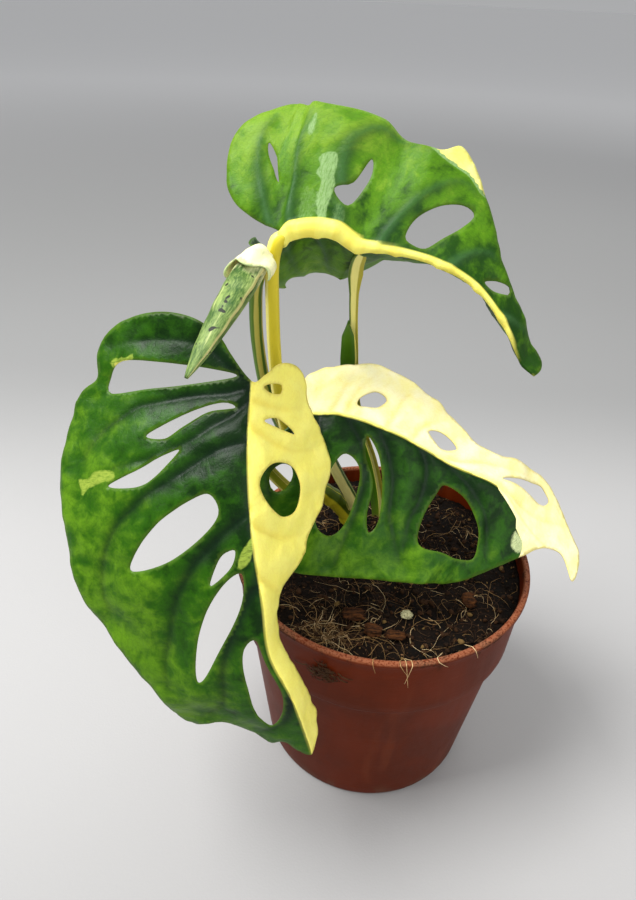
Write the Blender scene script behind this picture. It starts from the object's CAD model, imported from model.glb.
"""A young variegated monstera in a plastic nursery pot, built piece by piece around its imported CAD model."""

import math
import random

import bmesh
import bpy
import numpy as np
from bpy.props import FloatProperty, FloatVectorProperty, IntProperty, PointerProperty
from mathutils import Matrix, Vector, geometry, noise


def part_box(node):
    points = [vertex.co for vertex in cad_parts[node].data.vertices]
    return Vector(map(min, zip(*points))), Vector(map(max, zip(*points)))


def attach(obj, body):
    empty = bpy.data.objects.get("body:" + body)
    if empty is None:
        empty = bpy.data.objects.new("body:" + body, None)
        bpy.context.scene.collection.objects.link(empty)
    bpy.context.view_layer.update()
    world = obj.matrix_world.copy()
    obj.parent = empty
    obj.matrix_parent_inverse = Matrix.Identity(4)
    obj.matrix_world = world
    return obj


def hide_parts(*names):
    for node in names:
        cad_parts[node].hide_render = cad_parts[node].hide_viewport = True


bl_info = {
    "name": "Potted Monstera",
    "version": (1, 0, 0),
    "blender": (4, 5, 0),
    "location": "View3D > Sidebar > Plant",
    "description": "Builds a potted monstera with holed, variegated leaves",
    "category": "Object",
}

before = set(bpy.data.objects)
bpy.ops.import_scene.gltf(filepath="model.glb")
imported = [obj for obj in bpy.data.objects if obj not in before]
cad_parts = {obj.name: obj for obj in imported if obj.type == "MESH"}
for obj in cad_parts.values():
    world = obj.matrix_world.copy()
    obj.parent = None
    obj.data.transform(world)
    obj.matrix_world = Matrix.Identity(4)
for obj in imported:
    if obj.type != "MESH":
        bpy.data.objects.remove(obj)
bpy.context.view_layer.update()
POT_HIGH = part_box("pot")[1]

MM = 0.001

# ---------------------------------------------------------------- the plant's shape, as in the CAD model

# One blade is a flat outline (mm along the midrib, mm to its right) carried by a bent sheet.
# Each fold row is (mm along, degrees, degrees more per 10 mm out). Veins start at the midrib.
# A pale patch is a loop in the same flat millimetres.
LOWER_LEFT = {
    "midrib": [(-49.5, -30, 193.5), (-49, -46, 179), (-46.5, -61, 160.5), (-42.5, -71, 140.5),
               (-40, -76, 124), (-32.5, -79, 107), (-26, -79, 81.5)],
    "facing": (0.05, -0.72, 0.69),
    "right": [(0, -10, -3), (60, -12, -3), (140, -18, -3)],
    "left": [(0, -50, -2), (60, -52, -1), (76, -70, 0), (131, -72, 0)],
    "rib": (2.2, 0.9, -1),
    "outline": [(0, 0), (-9, 6), (-16, 10), (-22, 18), (-25, 30), (-23, 43), (-16, 51), (-7, 52), (0, 60),
                (22, 65), (43, 64), (60, 62), (71, 59), (84, 49), (96, 43), (109, 42), (115, 37), (114, 26),
                (120, 20), (127, 14), (126, 8), (133, 1), (129, -8), (122, -12), (108, -11), (92, -10),
                (76, -11), (70, -15), (66, -20), (56, -29), (49, -37), (43, -42), (34, -45), (25, -44),
                (16, -39), (9, -33), (0, -29), (-4, -23), (-5, -14), (-2, -6)],
    "holes": [
        [(-2, 5), (-1, 20), (-1, 34), (-1, 47), (-6, 47), (-11, 42), (-9, 28), (-5, 12)],
        [(8, 5), (9, 13), (13, 21), (16, 27), (15, 33), (12, 28), (8, 18), (6, 9)],
        [(20, 22), (27, 29), (30, 36), (29, 46), (25, 36), (21, 27)],
        [(40, 10), (47, 17), (53, 28), (55, 40), (50, 38), (41, 29), (35, 18), (34, 12)],
        [(51, 6), (56, 8), (61, 15), (56, 13), (52, 10)],
        [(58, 5), (66, 6), (78, 12), (88, 20), (92, 26), (83, 23), (70, 18), (61, 11)],
        [(80, 3), (91, 2), (102, 2.5), (112, 6), (117, 11), (105, 13), (91, 10), (82, 7)],
        [(2, -5), (4, -9), (4, -14), (1.5, -14), (1, -9)],
        [(13, -6), (16, -15), (18, -22), (14, -17), (12, -12)],
        [(33, -4), (40, -8), (45, -15), (45, -22), (39, -25), (30, -22), (27, -14), (28, -7)],
    ],
    "veins": [
        [(2, 0), (3, 10), (3, 20), (4, 30), (5, 37), (8, 42), (12, 49), (16, 53), (20, 56)],
        [(19, 0), (20, 6), (22, 12), (25, 18), (29, 25), (32, 32), (37, 39), (41, 44), (47, 48), (53, 51),
         (61, 53), (69, 52)],
        [(40, 0), (45, 8), (49, 13), (54, 19), (59, 23), (65, 27), (73, 30), (80, 32), (85, 35), (94, 38)],
        [(62, 0), (67, 5), (75, 9), (83, 13), (90, 17), (103, 23), (109, 30)],
        [(-1, 2), (-6, 8), (-13, 15), (-16, 26), (-17, 36), (-17, 44)],
        [(5, 0), (10, 5), (13, 11), (17, 18), (19, 24), (22, 34), (24, 44)],
        [(104, 0), (116, 6), (120, 14)],
        [(6, 0), (8, -9), (9, -18), (8, -28)],
        [(14, 0), (19, -9), (22, -15), (24, -22), (25, -34)],
        [(44, 0), (50, -10), (53, -18), (54, -27)],
        [(60, 0), (66, -7), (70, -12)],
    ],
    "patches": [
        ([(-11, 46), (-12, 44), (-12, 40), (-13, 38), (-11, 38), (-10, 40), (-9, 43), (-9, 45)], 1.0),
        ([(-14, 50), (-15, 47), (-14, 41), (-12, 41), (-10, 46), (-6, 46), (-4, 48), (-5, 50),
          (-9, 51)], 0.3),
        ([(26, 58), (26, 54), (24, 51), (24, 45), (26, 43), (28, 44), (28, 47), (29, 51), (30, 54), (33, 57),
          (30, 57)], 0.62),
        ([(46, -1), (50, 0), (55, 2), (57, 6), (53, 5), (50, 3)], 0.75),
    ],
}
LOWER_RIGHT = {
    "midrib": [(-31.5, -2, 167), (-19, -4, 168), (1, -8, 163), (20.5, -12, 154), (37, -16, 148.5),
               (49.5, -22, 134), (68, -28, 118)],
    "facing": (0, -0.6, 0.8),
    "right": [(0, -12, -2), (60, -14, -2), (120, -14, -2)],
    "left": [(0, -26, 0), (60, -32, 0), (120, -28, 0)],
    "rib": (2.2, 0.9, -1),
    "outline": [(0, 0), (-5, 7), (-9, 18), (-10, 32), (-7, 45), (0, 55), (10, 60), (23, 60), (41, 55),
                (59, 46), (77, 41), (85, 34), (92, 20), (97, 9), (102, 1), (110, -3), (119, 2), (118, -8),
                (113, -18), (102, -28), (93, -30), (84, -26), (78, -22), (72, -17), (67, -16), (63, -17),
                (57, -21), (50, -26), (43, -30), (30, -33), (16, -34), (7, -30), (-2, -27), (-8, -18),
                (-7, -10), (-3, -4)],
    "holes": [
        [(18, 14), (25, 16), (29, 24), (31, 37), (28, 43), (22, 42), (18, 36), (16, 24)],
        [(23, 5), (30, 10), (37, 20), (42, 31), (41, 36), (37, 31), (33, 20), (26, 12)],
        [(56, 8), (63, 9), (72, 14), (80, 18), (84, 24), (76, 30), (66, 31), (58, 31), (55, 22), (55, 12)],
        [(15, -7), (15, -12), (19, -17), (24, -15), (22, -9), (18, -7)],
        [(43, -10), (46, -13), (51, -12.5), (55, -9), (49, -5)],
        [(74, -5), (81, -14), (89, -22), (94, -25), (99, -22), (96, -16), (88, -13), (80, -9)],
        [(-4, 25), (-2, 21), (1, 21), (3, 25), (2, 30), (-1, 31), (-3, 29)],
    ],
    "veins": [
        [(3, 0), (6, 10), (12, 22), (16, 34), (16, 46)],
        [(12, 0), (21, 7), (27, 13), (31, 24), (33, 33), (34, 44), (36, 52)],
        [(24, 0), (33, 8), (40, 17), (44, 26), (50, 33), (56, 40)],
        [(40, 0), (47, 5), (51, 14), (52, 26), (55, 36)],
        [(52, 0), (60, 3), (69, 8), (79, 13), (88, 18)],
        [(-2, 4), (-4, 14), (-3, 28), (2, 42)],
        [(6, 0), (7, -9), (8, -17), (9, -28)],
        [(28, 0), (29, -13), (31, -24), (36, -31)],
        [(12, 0), (12, -10), (14, -20), (17, -30)],
        [(38, 0), (40, -10), (45, -19), (50, -25)],
        [(49, 0), (61, -6), (72, -11), (86, -22)],
        [(64, 0), (82, -3), (96, -9), (110, -18)],
    ],
    "patches": [([(89, 7), (89, 4), (93, 4), (96, 5), (96, 9), (92, 10)], 0.55)],
}
TOP = {
    "midrib": [(-44.5, 0, 227.5), (-41, 0, 230.5), (-33.5, -1, 232.5), (-26, -1, 231.5), (-19, -2, 228),
               (-6, -5, 227.5), (6, -9, 225.5), (18, -12, 219.5), (28, -15, 208.5), (35, -17, 197)],
    "facing": (0, -0.35, 0.94),
    "right": [(-14, -150, 0), (-3, -112, -1), (26, -112, -1), (35, -136, 0), (110, -140, 0)],
    "left": [(0, 44, -4), (40, 44, -4), (70, 25, -4), (110, 5, -2)],
    "rib": (3.8, 2.9, 1),
    "outline": [(0.5, 2.6), (0.5, -2.6), (-5, -5), (-11, -8), (-18, -13), (-23, -21), (-25, -33), (-21, -41),
                (-12, -46), (-3, -46), (9, -40), (20, -38), (37, -34), (42, -34), (46, -38), (51, -34),
                (57, -27), (64, -20), (71, -13), (79, -11), (94, -10), (101, -9), (104, -5), (101, 2),
                (94, 7), (80, 14), (64, 20), (50, 24), (38, 28), (28, 29), (24, 28), (14, 35), (2, 31),
                (-1, 36), (-8, 32), (-12, 22), (-12, 12), (-8, 5), (-3, 4)],
    "holes": [
        [(-12, -32), (-8, -27), (-4, -19), (-7, -22), (-11, -28)],
        [(15, -13), (19, -16), (21, -25), (23, -20), (21, -10), (18, -9)],
        [(41, -5), (42, -11), (47, -17), (53, -20), (57, -19), (55, -13), (51, -7), (48, -3), (44, -3)],
        [(69, -3.5), (72, -7), (77, -10), (78, -8), (73, -4)],
        [(42, 8), (48, 10), (54, 17), (52, 20), (46, 16)],
        [(58, 6), (64, 7), (72, 12), (70, 14), (63, 12)],
    ],
    "veins": [
        [(5, -2), (3, -10), (3, -17), (2, -24), (2, -30), (3, -35), (4, -39)],
        [(20, -1), (17, -12), (15, -20), (15, -28), (17, -32), (21, -35), (35, -34), (42, -32)],
        [(34, -1), (36, -8), (38, -12), (41, -18), (44, -22), (47, -25), (51, -27), (55, -25)],
        [(57, -1), (59, -5), (62, -9), (66, -12), (69, -12)],
        [(-3, -4), (-9, -15), (-13, -24), (-15, -35), (-13, -41)],
        [(80, -1), (86, -5), (92, -8)],
        [(2, 2), (4, 14), (6, 26)], [(14, 2), (19, 14), (22, 26)], [(-4, 4), (-8, 14), (-6, 28)],
        [(28, 1), (34, 12), (40, 24)], [(40, 1), (43, 14), (46, 22)], [(54, 1), (60, 14), (63, 19)],
        [(68, 1), (76, 8), (80, 12)],
    ],
    "patches": [
        ([(10, -24), (13, -24), (14, -20), (14, -17), (15, -14), (15, -10), (15, -6), (16, -1), (14, -1),
          (12, -6), (11, -10), (11, -15), (9, -18), (10, -20), (9, -22)], 0.8),
        ([(6, -38), (7, -36), (7, -33), (7, -30), (6, -30), (5, -29), (4, -32), (4, -34), (5, -35),
          (5, -37)], 0.6),
        ([(6, -14), (11, -12), (12, -1), (7, -1)], 0.42),
        ([(16, -10), (19, -9), (22, -3), (17, -1)], 0.42),
        ([(-7, -13), (1, -11), (3, -1), (-1, -2)], 0.28),
        ([(37, -36), (41, -32), (47, -30), (51, -29), (57, -26), (60, -30), (50, -40), (42, -40)], 1.0),
    ],
}
STEM_ROUTE = [(-12, 23, 72), (-12, 23, 92), (-14, 22, 102), (-20, 19, 112), (-28, 15.5, 122)]
PETIOLES = {
    "petiole_top": [(-28.4, 15.3, 122.6), (-33, 13, 132), (-40, 11, 148), (-44, 8, 168), (-45.5, 4.5, 188),
                    (-46, 1.5, 207), (-46, 0.2, 219), (-44.9, -0.4, 226.6), (-43, 0, 229),
                    (-39.5, 0.3, 230.3)],
    "petiole_furled": [(-26.3, 21.4, 116.6), (-33, 22, 123), (-42, 18.5, 145), (-49, 14, 166),
                       (-52, 10.5, 188),
                       (-52, 5.5, 206), (-50.8, 0.5, 216), (-49.3, -2.5, 220.9)],
    "petiole_lower_left": [(-26.3, 12.8, 115.6), (-31, 7.5, 119), (-42, 0, 134), (-52, -7, 153),
                           (-55, -16, 172), (-51, -25.5, 186), (-49.8, -28.9, 191.2)],
    "petiole_lower_right": [(-13.2, 17.6, 109.4), (-13, 14, 116), (-20, 9, 133), (-27, 5, 150),
                            (-30.5, 1.2, 161), (-31.4, -0.7, 165.6)],
}
SHOOT_ROUTE = [(1, 30, 78), (1, 30, 96), (-1, 32, 109), (-5, 34, 123.5), (-10.5, 36, 137.5),
               (-14.4, 38, 151), (-15.8, 38, 165), (-16.5, 35, 176), (-17.5, 27, 190), (-18.5, 17, 205),
               (-18.8, 9, 217), (-18.2, 3.5, 223), (-17.2, 0.2, 226.5)]


# ---------------------------------------------------------------- settings


def srgb(red, green, blue):
    """A display colour, 0 to 255, as the linear values that shaders use."""
    parts = (value / 255 for value in (red, green, blue))
    return tuple(p / 12.92 if p <= 0.04045 else ((p + 0.055) / 1.055) ** 2.4 for p in parts)


def colour_property(name, description, default):
    return FloatVectorProperty(name=name, description=description, subtype="COLOR", size=3, min=0, max=1,
                               default=default)


class PlantSettings(bpy.types.PropertyGroup):
    """Sizes and colours that a user would change."""

    rim_radius: FloatProperty(name="Rim radius", description="Outer radius of the pot's lip",
                              default=POT_HIGH.x, unit="LENGTH")
    pot_height: FloatProperty(name="Pot height", description="Height of the pot", default=POT_HIGH.z,
                              unit="LENGTH")
    blade_thickness: FloatProperty(name="Blade thickness",
                                   description="Thickness of a leaf away from its rib",
                                   default=0.7 * MM, unit="LENGTH")
    blade_grain: FloatProperty(name="Blade grain", description="Distance between points of a leaf's mesh",
                               default=1.15 * MM, unit="LENGTH")
    fibre_count: IntProperty(name="Fibres", description="Loose fibres and rootlets in the soil", default=900)
    crumb_count: IntProperty(name="Crumbs", description="Loose crumbs of soil", default=1500)
    green: colour_property("Leaf green", "The leaves' main green", srgb(36, 80, 3))
    deep_green: colour_property("Deep green", "The darker mottling of the leaves", srgb(9, 38, 2))
    bright_green: colour_property("Bright green", "The leaves' paler undersides", srgb(76, 122, 12))
    cream: colour_property("Cream", "The pale halves of the leaves", srgb(255, 242, 100))
    pot_colour: colour_property("Pot", "The pot's plastic", srgb(94, 32, 5))
    soil_colour: colour_property("Soil", "The potting mix", srgb(18, 10, 5))
    fibre_colour: colour_property("Fibre", "Fibres and rootlets", srgb(178, 140, 88))
    key_power: FloatProperty(name="Key light", description="Power of the main light", default=24.0,
                             unit="POWER")
    fill_power: FloatProperty(name="Fill light", description="Power of the fill light", default=5.0,
                              unit="POWER")


# ---------------------------------------------------------------- shader wiring


class Wire:
    """One output of a material's nodes, so that shader maths reads as plain expressions."""

    def __init__(self, shader, socket):
        self.shader, self.socket = shader, socket

    def _with(self, operation, first, second):
        return self.shader.node("Math", {"operation": operation}, {0: first, 1: second})

    def __add__(self, other):
        return self._with("ADD", self, other)

    def __sub__(self, other):
        return self._with("SUBTRACT", self, other)

    def __rsub__(self, other):
        return self._with("SUBTRACT", other, self)

    def __mul__(self, other):
        return self._with("MULTIPLY", self, other)

    def step(self, low, high):
        """0 below `low`, 1 above `high`, smooth between."""
        settings = {"interpolation_type": "SMOOTHSTEP"}
        return self.shader.node("MapRange", settings, {"Value": self, "From Min": low, "From Max": high})

    __radd__ = __add__
    __rmul__ = __mul__


class Shader:
    """A material and the few ways that this plant wires one."""

    def __init__(self, name, **constants):
        self.material = bpy.data.materials.new(name)
        self.material.use_nodes = True
        self.nodes = self.material.node_tree.nodes
        self.links = self.material.node_tree.links
        self.surface = self.nodes["Principled BSDF"]
        for key, value in constants.items():
            self.surface.inputs[key.replace("_", " ")].default_value = value

    def feed(self, socket, value):
        if isinstance(value, Wire):
            self.links.new(value.socket, socket)
        elif isinstance(value, tuple) and len(value) == 3 and socket.type == "RGBA":
            socket.default_value = (*value, 1)
        else:
            socket.default_value = value

    def node(self, kind, settings=None, inputs=None, output=0):
        made = self.nodes.new("ShaderNode" + kind)
        for key, value in (settings or {}).items():
            setattr(made, key, value)
        for key, value in (inputs or {}).items():
            self.feed(made.inputs[key], value)
        return Wire(self, made.outputs[output])

    def place(self):
        return self.node("TexCoord", output=3)

    def chart(self, name):
        return self.node("UVMap", {"uv_map": name})

    def read(self, name):
        return self.node("Attribute", {"attribute_name": name}, output=2)

    def stretch(self, vector, scale):
        return self.node("Mapping", {}, {"Vector": vector, "Scale": scale})

    def grain(self, vector, scale, detail=3.0, roughness=0.55, distortion=0.0):
        return self.node("TexNoise", {}, {"Vector": vector, "Scale": scale, "Detail": detail,
                                          "Roughness": roughness, "Distortion": distortion})

    def cells(self, vector, scale, feature="DISTANCE_TO_EDGE"):
        return self.node("TexVoronoi", {"feature": feature}, {"Vector": vector, "Scale": scale})

    def mix(self, first, second, share):
        return self.node("Mix", {"data_type": "RGBA"}, {0: share, 6: first, 7: second}, output=2)

    def bump(self, height, distance, strength=1.0):
        return self.node("Bump", {}, {"Height": height, "Distance": distance, "Strength": strength})

    def finish(self, colour, roughness=None, normal=None):
        self.feed(self.surface.inputs["Base Color"], colour)
        if roughness is not None:
            self.feed(self.surface.inputs["Roughness"], roughness)
        if normal is not None:
            self.feed(self.surface.inputs["Normal"], normal)
        return self.material


def settings():
    return bpy.context.scene.plant


def tuple_of(colour):
    return tuple(colour[:3])


def leaf_look(name, back_shown, patch_tone, pale_tone, tip_light):
    """Mottled green and cream, split by attributes that the blade carries."""
    use = settings()
    sh = Shader(name, Subsurface_Weight=0.05, Subsurface_Radius=(0.0012, 0.0022, 0.0006),
                Subsurface_Scale=1.0, Specular_IOR_Level=0.13)
    chart = sh.chart("blade")
    toward_tip = sh.node("SeparateXYZ", {}, {"Vector": chart}, output=0)
    vein, halo, pale, rib = sh.read("vein"), sh.read("halo"), sh.read("pale"), sh.read("rib")
    patch, rim, under, reach = sh.read("patch"), sh.read("rim"), sh.read("under"), sh.read("reach")
    broad = sh.grain(sh.stretch(chart, (1.6, 1, 1)), 9.0, 3, 0.5)
    blotch = sh.grain(chart, 20.0, 4, 0.55, 0.5)
    fine = sh.grain(chart, 110.0, 3, 0.6)
    light = broad * 0.5 + blotch * 0.5 + (reach - 0.4) * 0.3
    light = light + (toward_tip - 0.5) * tip_light + (fine - 0.5) * 0.12
    face = sh.mix(tuple_of(use.deep_green), tuple_of(use.green), light.step(0.34, 0.58))
    face = sh.mix(face, srgb(92, 134, 20), light.step(0.54, 0.84) * 0.85)
    back = sh.mix(srgb(28, 66, 4), tuple_of(use.bright_green), light.step(0.34, 0.56))
    back = sh.mix(back, srgb(114, 150, 34), light.step(0.54, 0.74) * 0.85)
    turned = (1 - under) if back_shown else under
    green = sh.mix(face, back, turned)
    green = sh.mix(green, sh.mix(srgb(10, 34, 8), srgb(16, 56, 14), turned), halo * 0.75)
    green = sh.mix(green, sh.mix(srgb(8, 26, 14), srgb(58, 98, 50), turned), vein * 0.75)
    cream_face = sh.mix(tuple_of(use.cream), pale_tone, 0.55)
    cream_face = sh.mix(cream_face, pale_tone, broad.step(0.3, 0.7))
    cream_face = sh.mix(cream_face, srgb(240, 216, 84), blotch.step(0.6, 0.85) * 0.3)
    cream_face = sh.mix(cream_face, srgb(232, 204, 70), vein * 0.45)
    cream_back = sh.mix(srgb(222, 212, 104), srgb(240, 230, 136), broad.step(0.35, 0.65))
    cream = sh.mix(cream_face, cream_back, turned)
    wobble = (blotch - 0.5) * 1.6 + (fine - 0.5) * 0.6
    split = (pale + wobble * 0.35).step(-0.12, 0.12)
    streaks = sh.grain(sh.stretch(chart, (6, 1, 1)), 40.0, 4, 0.7)
    spots = (patch + (streaks - 0.5) * 0.5 + (fine - 0.5) * 0.2).step(0.34, 0.56)
    net = sh.cells(sh.stretch(chart, (1, 1.4, 1)), 52.0).step(0.0, 0.09)
    green = sh.mix(sh.mix(green, srgb(20, 52, 10), 0.5), green, net * 0.3 + 0.7)
    cream = sh.mix(sh.mix(cream, srgb(226, 196, 70), 0.5), cream, net * 0.3 + 0.7)
    marked = sh.mix(patch_tone, cream, patch.step(0.86, 0.95))
    marked = sh.mix(marked, green, (streaks.step(0.42, 0.66)) * (1 - patch.step(0.86, 0.95)) * 0.6)
    colour = sh.mix(green, marked, spots * patch.step(0.1, 0.6))
    colour = sh.mix(colour, cream, split)
    rib_tone = sh.mix(srgb(255, 246, 120), srgb(246, 230, 100), broad.step(0.4, 0.6))
    colour = sh.mix(colour, rib_tone, rib)
    edge_tone = sh.mix(srgb(98, 128, 40), srgb(206, 178, 76), split)
    colour = sh.mix(colour, edge_tone, rim * 0.4)
    height = broad * 0.7 + blotch * 0.4 + fine * 0.06 + net * 0.025 - halo * 0.35
    rough = 0.4 + (blotch - 0.5) * 0.2 + turned * 0.1
    return sh.finish(colour, rough, sh.bump(height, 0.0009, 0.6))


def stalk_look(name, stops, tail):
    """A striped stalk: colour bands around it, fine long fibres, darker nicks."""
    sh = Shader(name, Subsurface_Weight=0.05, Subsurface_Radius=(0.0015, 0.002, 0.0008), Subsurface_Scale=1.0,
                Specular_IOR_Level=0.3)
    chart = sh.chart("round")
    around = sh.read("around")
    along = sh.read("along")
    fibre = sh.grain(sh.stretch(chart, (14, 1.2, 1)), 6.0, 4, 0.6)
    fine = sh.grain(sh.stretch(chart, (60, 3, 1)), 6.0, 3, 0.6)
    colour = stops[0][1]
    turn = around + (fibre - 0.5) * 0.06
    for start, tone in stops[1:]:
        colour = sh.mix(colour, tone, turn.step(start - 0.018, start + 0.018))
    colour = sh.mix(colour, tail, (1 - along).step(0.86, 1.0) * 0.7)
    colour = sh.mix(colour, srgb(96, 104, 24), fine.step(0.56, 0.8) * 0.4)
    nick = sh.grain(sh.stretch(chart, (9, 26, 1)), 3.0, 2, 0.5)
    colour = sh.mix(colour, srgb(96, 66, 26), nick.step(0.74, 0.8) * 0.5)
    height = fibre * 0.7 + fine * 0.3
    return sh.finish(colour, 0.36 + fine * 0.15, sh.bump(height, 0.0003, 0.6))


# ---------------------------------------------------------------- curves and sheets


def spline(points, spacing, closed=False):
    """A smooth curve through the points, read about every `spacing`, as an array."""
    points = np.array(points, float)
    count = len(points)
    if closed:
        padded = np.vstack([points[-1], points, points[0], points[1]])
        spans = count
    else:
        padded = np.vstack([2 * points[0] - points[1], points, 2 * points[-1] - points[-2]])
        spans = count - 1
    found = []
    for k in range(spans):
        before, start, end, after = padded[k : k + 4]
        steps = max(1, round(np.linalg.norm(end - start) / spacing))
        square = 2 * before - 5 * start + 4 * end - after
        cube = 3 * start - before - 3 * end + after
        for s in range(steps):
            t = s / steps
            found.append(0.5 * (2 * start + (end - before) * t + square * t ** 2 + cube * t ** 3))
    if not closed:
        found.append(points[-1])
    return np.array(found)


def unit(vectors):
    return vectors / np.linalg.norm(vectors, axis=-1, keepdims=True)


class Sheet:
    """A blade's bent surface, in millimetres, as in the CAD model: arrays in, arrays out."""

    CHORD_SHARE = 0.6
    SPAN = 8.0

    def __init__(self, spec):
        self.points = spline(spec["midrib"], 1.0)
        steps = np.linalg.norm(np.diff(self.points, axis=0), axis=1)
        self.lengths = np.concatenate([[0.0], np.cumsum(steps)])
        self.length = self.lengths[-1]
        self.chord = unit(self.points[-1] - self.points[0])
        self.facing = unit(np.array(spec["facing"], float))
        self.folds = {1: np.array(spec["right"], float), -1: np.array(spec["left"], float)}

    def heading(self, step):
        return unit(unit(step) * (1 - self.CHORD_SHARE) + self.chord * self.CHORD_SHARE)

    def middle(self, along):
        spots = np.stack([np.interp(along, self.lengths, self.points[:, k]) for k in range(3)], axis=-1)
        first = self.heading(self.points[1] - self.points[0])
        last = self.heading(self.points[-1] - self.points[-2])
        before, past = np.minimum(along, 0)[..., None], np.maximum(along - self.length, 0)[..., None]
        return spots + before * first + past * last

    def at(self, along, out, side):
        tangent = self.heading(self.middle(along + self.SPAN) - self.middle(along - self.SPAN))
        up = unit(self.facing - tangent * (tangent @ self.facing)[..., None])
        across = np.cross(tangent, up)
        angle, curl = (np.where(side > 0, np.interp(along, self.folds[1][:, 0], self.folds[1][:, k]),
                                np.interp(along, self.folds[-1][:, 0], self.folds[-1][:, k])) for k in (1, 2))
        angle, curl = np.radians(angle), np.radians(curl) / 10
        curl = np.where(np.abs(curl) < 1e-5, 1e-5, curl)
        width = np.abs(out)
        sideways = (np.sin(angle + curl * width) - np.sin(angle)) / curl
        rise = (np.cos(angle) - np.cos(angle + curl * width)) / curl
        return self.middle(along) + across * (sideways * side)[..., None] + up * rise[..., None]

    def normal(self, along, out):
        total = np.zeros((len(along), 3))
        for side in (1.0, -1.0):
            near = np.where(out * side > 0, out, 0.0)
            sides = np.full(len(along), side)
            ahead = self.at(along + 0.2, near, sides) - self.at(along - 0.2, near, sides)
            outward = (self.at(along, near + 0.2 * side, sides) - self.at(along, near, sides)) * side
            part = -unit(np.cross(ahead, outward))
            weight = np.clip(0.5 + out * side / 1.2, 0, 1)
            total += part * weight[:, None]
        return unit(total)


def carried_frames(path, side):
    """For each point of a path: its share of the way, itself, the way ahead and two steady ways across."""
    last = len(path) - 1
    for k, spot in enumerate(path):
        ahead = unit(path[min(k + 1, last)] - path[max(k - 1, 0)])
        side = unit(side - ahead * (side @ ahead))
        yield k / last, spot, ahead, side, np.cross(ahead, side)


def inside(spots, loop):
    """Which flat points lie inside a closed loop."""
    x, y = spots[:, 0], spots[:, 1]
    found = np.zeros(len(spots), bool)
    for a, b in zip(loop, np.roll(loop, -1, axis=0)):
        if a[1] != b[1]:
            cross = a[0] + (y - a[1]) * (b[0] - a[0]) / (b[1] - a[1])
            found ^= ((a[1] > y) != (b[1] > y)) & (x < cross)
    return found


def to_lines(spots, lines, closed=False):
    """How far each flat point is from the nearest of some broken lines, and where along it, 0 to 1."""
    nearest, share = np.full(len(spots), 1e3), np.zeros(len(spots))
    for line in lines:
        line = np.array(line, float)
        if closed:
            line = np.vstack([line, line[:1]])
        count = len(line) - 1
        for k, (a, b) in enumerate(zip(line, line[1:])):
            run = b - a
            t = np.clip(((spots - a) @ run) / max(run @ run, 1e-9), 0, 1)
            gap = np.linalg.norm(spots - a - t[:, None] * run, axis=1)
            closer = gap < nearest
            nearest = np.where(closer, gap, nearest)
            share = np.where(closer, (k + t) / count, share)
    return nearest, share


def flat_mesh(outline, holes, grain):
    """A flat triangle mesh that fills an outline around its holes, with an even grain."""
    outline = spline(outline, grain, closed=True)
    holes = [spline(hole, grain, closed=True) for hole in holes]
    border, edges = [], []
    for loop in (outline, *holes):
        start = len(border)
        border += [tuple(p) for p in loop]
        edges += [(start + k, start + (k + 1) % len(loop)) for k in range(len(loop))]
    low, high = outline.min(axis=0), outline.max(axis=0)
    rows = []
    for row, out in enumerate(np.arange(low[1], high[1], grain * 0.87)):
        alongs = np.arange(low[0] + (row % 2) * grain / 2, high[0], grain)
        rows.append(np.stack([alongs, np.full(len(alongs), out)], axis=1))
    spots = np.vstack(rows)
    keep = inside(spots, outline)
    for hole in holes:
        keep &= ~inside(spots, hole)
    spots = spots[keep]
    gap, _ = to_lines(spots, [outline, *holes], closed=True)
    spots = spots[gap > 0.55 * grain]
    points = [Vector(p) for p in border] + [Vector(p) for p in spots]
    flat, _, triangles, *_ = geometry.delaunay_2d_cdt(points, edges, [], 0, 1e-5)
    flat = np.array([(p.x, p.y) for p in flat])
    triangles = np.array([list(t) for t in triangles])
    centres = flat[triangles].mean(axis=1)
    keep = inside(centres, outline)
    for hole in holes:
        keep &= ~inside(centres, hole)
    triangles = triangles[keep]
    used = np.unique(triangles)
    index = np.full(len(flat), -1)
    index[used] = np.arange(len(used))
    return flat[used], index[triangles], [outline, *holes]


def noise_at(points, size, seed=0.0, octaves=3):
    """Fractal noise at each point, about -1 to 1, with features of one size."""
    offset = Vector((seed, seed * 1.7, seed * 0.6))
    return np.array([noise.fractal(Vector(p) / size + offset, 1.0, 2.0, octaves) for p in points])


# ---------------------------------------------------------------- making pieces


def clear_selection():
    if bpy.context.object and bpy.context.object.mode != "OBJECT":
        bpy.ops.object.mode_set(mode="OBJECT")
    bpy.ops.object.select_all(action="DESELECT")


def new_piece(name, vertices, faces, attributes=None):
    """A mesh object at the origin, smooth, with any point attributes it carries."""
    mesh = bpy.data.meshes.new(name)
    mesh.from_pydata([tuple(v) for v in vertices], [], [tuple(int(i) for i in f) for f in faces])
    mesh.update()
    for key, values in (attributes or {}).items():
        layer = mesh.attributes.new(key, "FLOAT", "POINT")
        layer.data.foreach_set("value", np.asarray(values, np.float32))
    mesh.shade_smooth()
    piece = bpy.data.objects.new(name, mesh)
    bpy.context.scene.collection.objects.link(piece)
    return piece


def add_chart(piece, name, coordinates):
    """A UV map from one pair of numbers for each point."""
    mesh = piece.data
    layer = mesh.uv_layers.new(name=name)
    corners = np.zeros(len(mesh.loops), int)
    mesh.loops.foreach_get("vertex_index", corners)
    layer.data.foreach_set("uv", np.asarray(coordinates, np.float32)[corners].ravel())


def finish_piece(piece, look, slot, *nodes):
    piece.data.materials.clear()
    piece.data.materials.append(look)
    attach(piece, "root")
    if nodes:
        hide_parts(*nodes)
    return piece


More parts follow.
